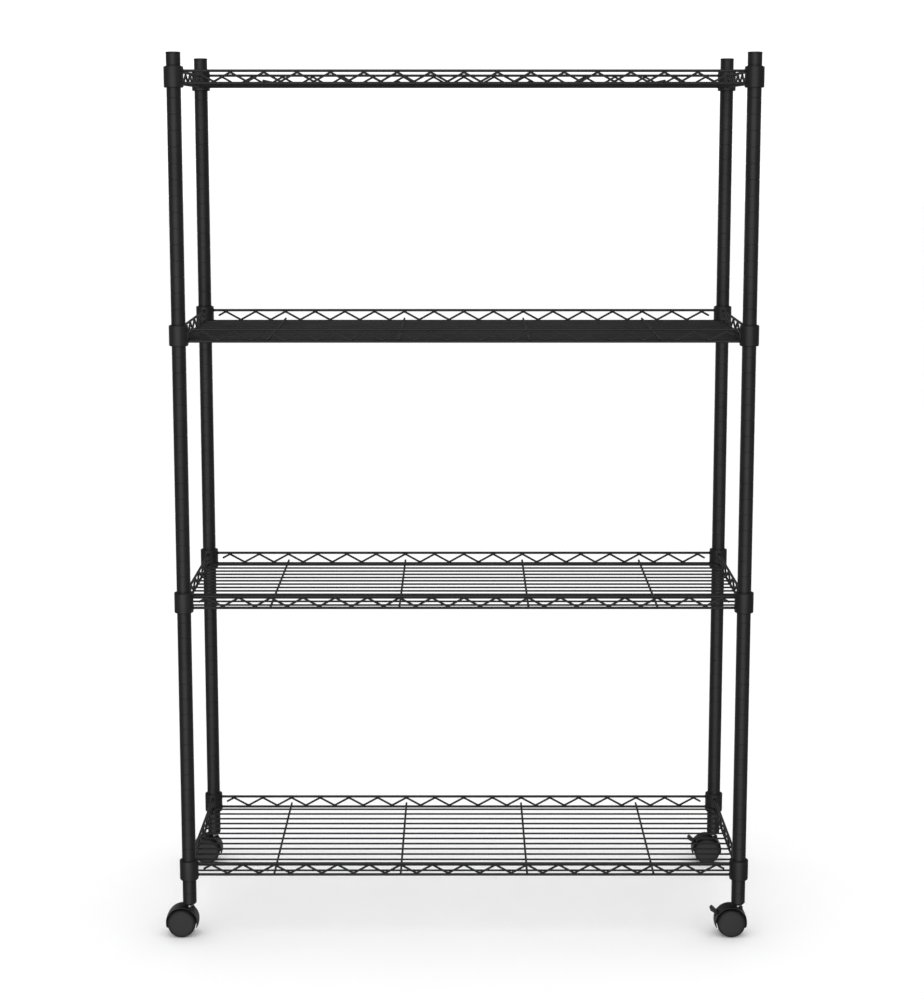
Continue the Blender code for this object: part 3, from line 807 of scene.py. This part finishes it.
def hood_mesh(braked):
    """Fender, web and stem boss, clear of the wheels, stem and lever; the origin is on the axle."""
    fender, web, boss, cutter = Shape(), Shape(), Shape(), Shape()
    add_fender(fender)
    outline = arc((FENDER_OUTER + FENDER_INNER) / 2, *WEB_ARC) + arc(HUB_RADIUS, *HUB_ARC)
    add_slab(web, outline, WEB_HALF_WIDTH, WEB_ROUNDING)
    over_stem = Matrix.Translation((CASTER_TRAIL, 0, 0))
    boss_top = BOSS_TOP - WHEEL_RADIUS
    boss_profile = [(radius, boss_top - down) for radius, down in BOSS_PROFILE]
    boss.turned(boss_profile, sides=BOSS_SIDES, matrix=over_stem)
    bore_profile = [(STEM_BORE, height) for height in STEM_BORE_SPAN]
    cutter.turned(bore_profile, sides=STEM_SIDES, matrix=over_stem)
    for side in (-1, 1):
        well = [(WELL_RADIUS, WEB_HALF_WIDTH), (WELL_RADIUS, WELL_END)]
        mirrored = Matrix.Diagonal((1, side, 1, 1)) @ lying()
        cutter.turned(well, sides=WELL_SIDES, matrix=mirrored)
    if braked:
        cutter.loft([
            [Vector((x, y, z)) for x, z in LEVER_SLOT]
            for y in (-LEVER_SLOT_HALF_WIDTH, LEVER_SLOT_HALF_WIDTH)
        ])
    mesh = combine(fender.mesh("fender"), web.mesh("web"), "UNION")
    mesh = combine(mesh, boss.mesh("boss"), "UNION")
    mesh = combine(mesh, cutter.mesh("cutter"), "DIFFERENCE")
    mesh.name = "hood_braked" if braked else "hood"
    mesh.shade_smooth()
    mesh.set_sharp_from_angle(angle=math.radians(32))
    return mesh


def lever_outline(points):
    """Outline given along and across the lever, turned to the lever's slope."""
    return [(
        along * math.cos(BRAKE_ANGLE) - across * math.sin(BRAKE_ANGLE),
        along * math.sin(BRAKE_ANGLE) + across * math.cos(BRAKE_ANGLE),
    ) for along, across in points]


def brake_mesh():
    """Lever from its pin out through the fender, ending in a wide pedal; the origin is the pin."""
    shape = Shape()
    arm = lever_outline(arc(KNUCKLE_RADIUS, *KNUCKLE_ARC) + ARM_OUTLINE)
    add_slab(shape, arm, ARM_HALF_WIDTH, ARM_ROUNDING)
    add_slab(shape, lever_outline(PEDAL_OUTLINE), PEDAL_HALF_WIDTH, PEDAL_ROUNDING)
    return shape.mesh("brake_lever", 40)


def build_casters():
    """Four casters: hood and two wheels each, and a brake lever on the two at +X."""
    hoods = {braked: hood_mesh(braked) for braked in (False, True)}
    wheel, brake = wheel_mesh(), brake_mesh()
    for corner, (side_x, side_y) in CORNERS.items():
        braked = corner in BRAKED_CORNERS
        hub = Vector((side_x * POST_X - CASTER_TRAIL, side_y * POST_Y, WHEEL_RADIUS))
        add_piece(f"moulded_hood_{corner}", hoods[braked], PLASTIC, f"hood_{corner}", hub)
        add_piece(f"disc_{corner}_far", wheel, WHEEL_PLASTIC, f"wheel_{corner}_far", hub)
        add_piece(f"disc_{corner}_near", wheel, WHEEL_PLASTIC, f"wheel_{corner}_near", hub, math.pi)
        axle = frame["nodes"][f"axle_{corner}"]
        axle.data.materials.clear()
        axle.data.materials.append(ZINC)
        if braked:
            pivot = hub + Vector(BRAKE_PIVOT)
            add_piece(f"lever_{corner}", brake, PLASTIC, f"brake_{corner}", pivot)


# ---- Studio ----

FLOOR_HALF_SIZE = 30.0

# Surroundings: even light, and what the cart reflects, by degrees from the front
AMBIENT_LIGHT = 1.15
SIDE_REFLECTION = 0.12
REAR_REFLECTION = 0.70
STRIP_REFLECTION = 1.3
STRIP_LEFT = -30
STRIP_RIGHT = 18
STRIP_FADE = 14
REAR_TONES = [
    (126, SIDE_REFLECTION), (142, REAR_REFLECTION), (154, REAR_REFLECTION), (164, SIDE_REFLECTION),
]
# Reflections fade to this share overhead, from this height of the direction up
OVERHEAD_SHARE = 0.15
OVERHEAD_START = 0.2

SOFTBOX_PLACE = (0.0, -0.4, 3.6)
SOFTBOX_TARGET = (0, 0, 0.6)
SOFTBOX_SIZE = 2.4
SOFTBOX_POWER = 8

CAMERA_PLACE = (-0.0031, -3.2688, 1.298)
CAMERA_PITCH = 90 - 8.118
CAMERA_LENS = 72.52
CAMERA_SHIFT = -0.09


def build_floor():
    """Plain pale floor, which the cart doesn't mirror."""
    mesh = bpy.data.meshes.new("studio_floor")
    size = FLOOR_HALF_SIZE
    corners = [(-size, -size, 0), (size, -size, 0), (size, size, 0), (-size, size, 0)]
    mesh.from_pydata(corners, [], [(0, 1, 2, 3)])
    floor = bpy.data.objects.new("studio_floor", mesh)
    bpy.context.collection.objects.link(floor)
    material, nodes, links, shader = new_material("pale_floor")
    coordinates = nodes.new("ShaderNodeTexCoord")
    cloud = add_noise(nodes, links, coordinates, 0.8, 2.0)
    colour = add_ramp(nodes, links, cloud, (0.90, 0.90, 0.90), (0.92, 0.92, 0.92))
    links.new(colour, shader.inputs["Base Color"])
    shader.inputs["Roughness"].default_value = 0.9
    shader.inputs["Specular IOR Level"].default_value = 0.1
    mesh.materials.append(material)
    floor.visible_glossy = False


def build_world():
    """Even white light all round. As a reflection it is dim, but for one bright strip in front and
    two paler zones behind, so that each round post shows a soft highlight down its middle."""
    world = bpy.data.worlds.new("studio")
    world.use_nodes = True
    world.cycles.sampling_method = "NONE"
    nodes, links = world.node_tree.nodes, world.node_tree.links
    nodes.clear()
    output = nodes.new("ShaderNodeOutputWorld")
    path = nodes.new("ShaderNodeLightPath")
    mix = nodes.new("ShaderNodeMixShader")
    even, reflected = nodes.new("ShaderNodeBackground"), nodes.new("ShaderNodeBackground")
    even.inputs["Strength"].default_value = AMBIENT_LIGHT
    even.inputs["Color"].default_value = (1, 1, 1, 1)
    reflected.inputs["Color"].default_value = (1, 1, 1, 1)
    direction = nodes.new("ShaderNodeTexCoord")
    parts = nodes.new("ShaderNodeSeparateXYZ")
    links.new(direction.outputs["Generated"], parts.inputs["Vector"])
    forward = nodes.new("ShaderNodeMath")
    forward.operation = "MULTIPLY"
    forward.inputs[1].default_value = -1.0
    links.new(parts.outputs["Y"], forward.inputs[0])
    azimuth = nodes.new("ShaderNodeMath")
    azimuth.operation = "ARCTAN2"
    links.new(parts.outputs["X"], azimuth.inputs[0])
    links.new(forward.outputs["Value"], azimuth.inputs[1])
    strip = nodes.new("ShaderNodeValToRGB")
    strip.color_ramp.interpolation = "EASE"
    tones = [(-degrees, tone) for degrees, tone in reversed(REAR_TONES)]
    tones += [(STRIP_LEFT - STRIP_FADE, SIDE_REFLECTION), (STRIP_LEFT, STRIP_REFLECTION)]
    tones += [(STRIP_RIGHT, STRIP_REFLECTION), (STRIP_RIGHT + STRIP_FADE, SIDE_REFLECTION)]
    tones += REAR_TONES
    elements = strip.color_ramp.elements
    for index, (degrees, tone) in enumerate(tones):
        place = (degrees + 180) / 360
        element = elements[index] if index < 2 else elements.new(place)
        element.position = place
        element.color = (tone, tone, tone, 1.0)
    turn = nodes.new("ShaderNodeMapRange")
    turn.inputs["From Min"].default_value = -math.pi
    turn.inputs["From Max"].default_value = math.pi
    links.new(azimuth.outputs["Value"], turn.inputs["Value"])
    links.new(turn.outputs["Result"], strip.inputs["Fac"])
    height = nodes.new("ShaderNodeMath")
    height.operation = "ABSOLUTE"
    links.new(parts.outputs["Z"], height.inputs[0])
    fade = nodes.new("ShaderNodeMapRange")
    fade.inputs["From Min"].default_value = OVERHEAD_START
    fade.inputs["From Max"].default_value = 1.0
    fade.inputs["To Min"].default_value = 1.0
    fade.inputs["To Max"].default_value = OVERHEAD_SHARE
    links.new(height.outputs["Value"], fade.inputs["Value"])
    level = nodes.new("ShaderNodeMath")
    level.operation = "MULTIPLY"
    links.new(strip.outputs["Color"], level.inputs[0])
    links.new(fade.outputs["Result"], level.inputs[1])
    links.new(level.outputs["Value"], reflected.inputs["Strength"])
    links.new(path.outputs["Is Glossy Ray"], mix.inputs["Fac"])
    links.new(even.outputs["Background"], mix.inputs[1])
    links.new(reflected.outputs["Background"], mix.inputs[2])
    links.new(mix.outputs["Shader"], output.inputs["Surface"])
    bpy.context.scene.world = world


def build_softbox():
    """Large square lamp over the cart."""
    light = bpy.data.lights.new("top_softbox", "AREA")
    light.shape = "RECTANGLE"
    light.size = light.size_y = SOFTBOX_SIZE
    light.energy = SOFTBOX_POWER
    lamp = bpy.data.objects.new("top_softbox", light)
    lamp.location = SOFTBOX_PLACE
    aim = Vector(SOFTBOX_TARGET) - Vector(SOFTBOX_PLACE)
    lamp.rotation_euler = aim.to_track_quat("-Z", "Y").to_euler()
    bpy.context.collection.objects.link(lamp)


def build_camera():
    """Eye near the top of the cart, looking slightly down along +Y."""
    data = bpy.data.cameras.new("camera")
    data.sensor_width = 36.0
    data.lens = CAMERA_LENS
    data.shift_y = CAMERA_SHIFT
    data.clip_end = 100.0
    camera = bpy.data.objects.new("camera", data)
    camera.location = CAMERA_PLACE
    camera.rotation_euler = (math.radians(CAMERA_PITCH), 0, 0)
    bpy.context.collection.objects.link(camera)
    bpy.context.scene.camera = camera


build_camera()
build_posts()
build_shelves()
build_casters()
build_floor()
build_world()
build_softbox()
bpy.context.scene.view_settings.view_transform = "Standard"
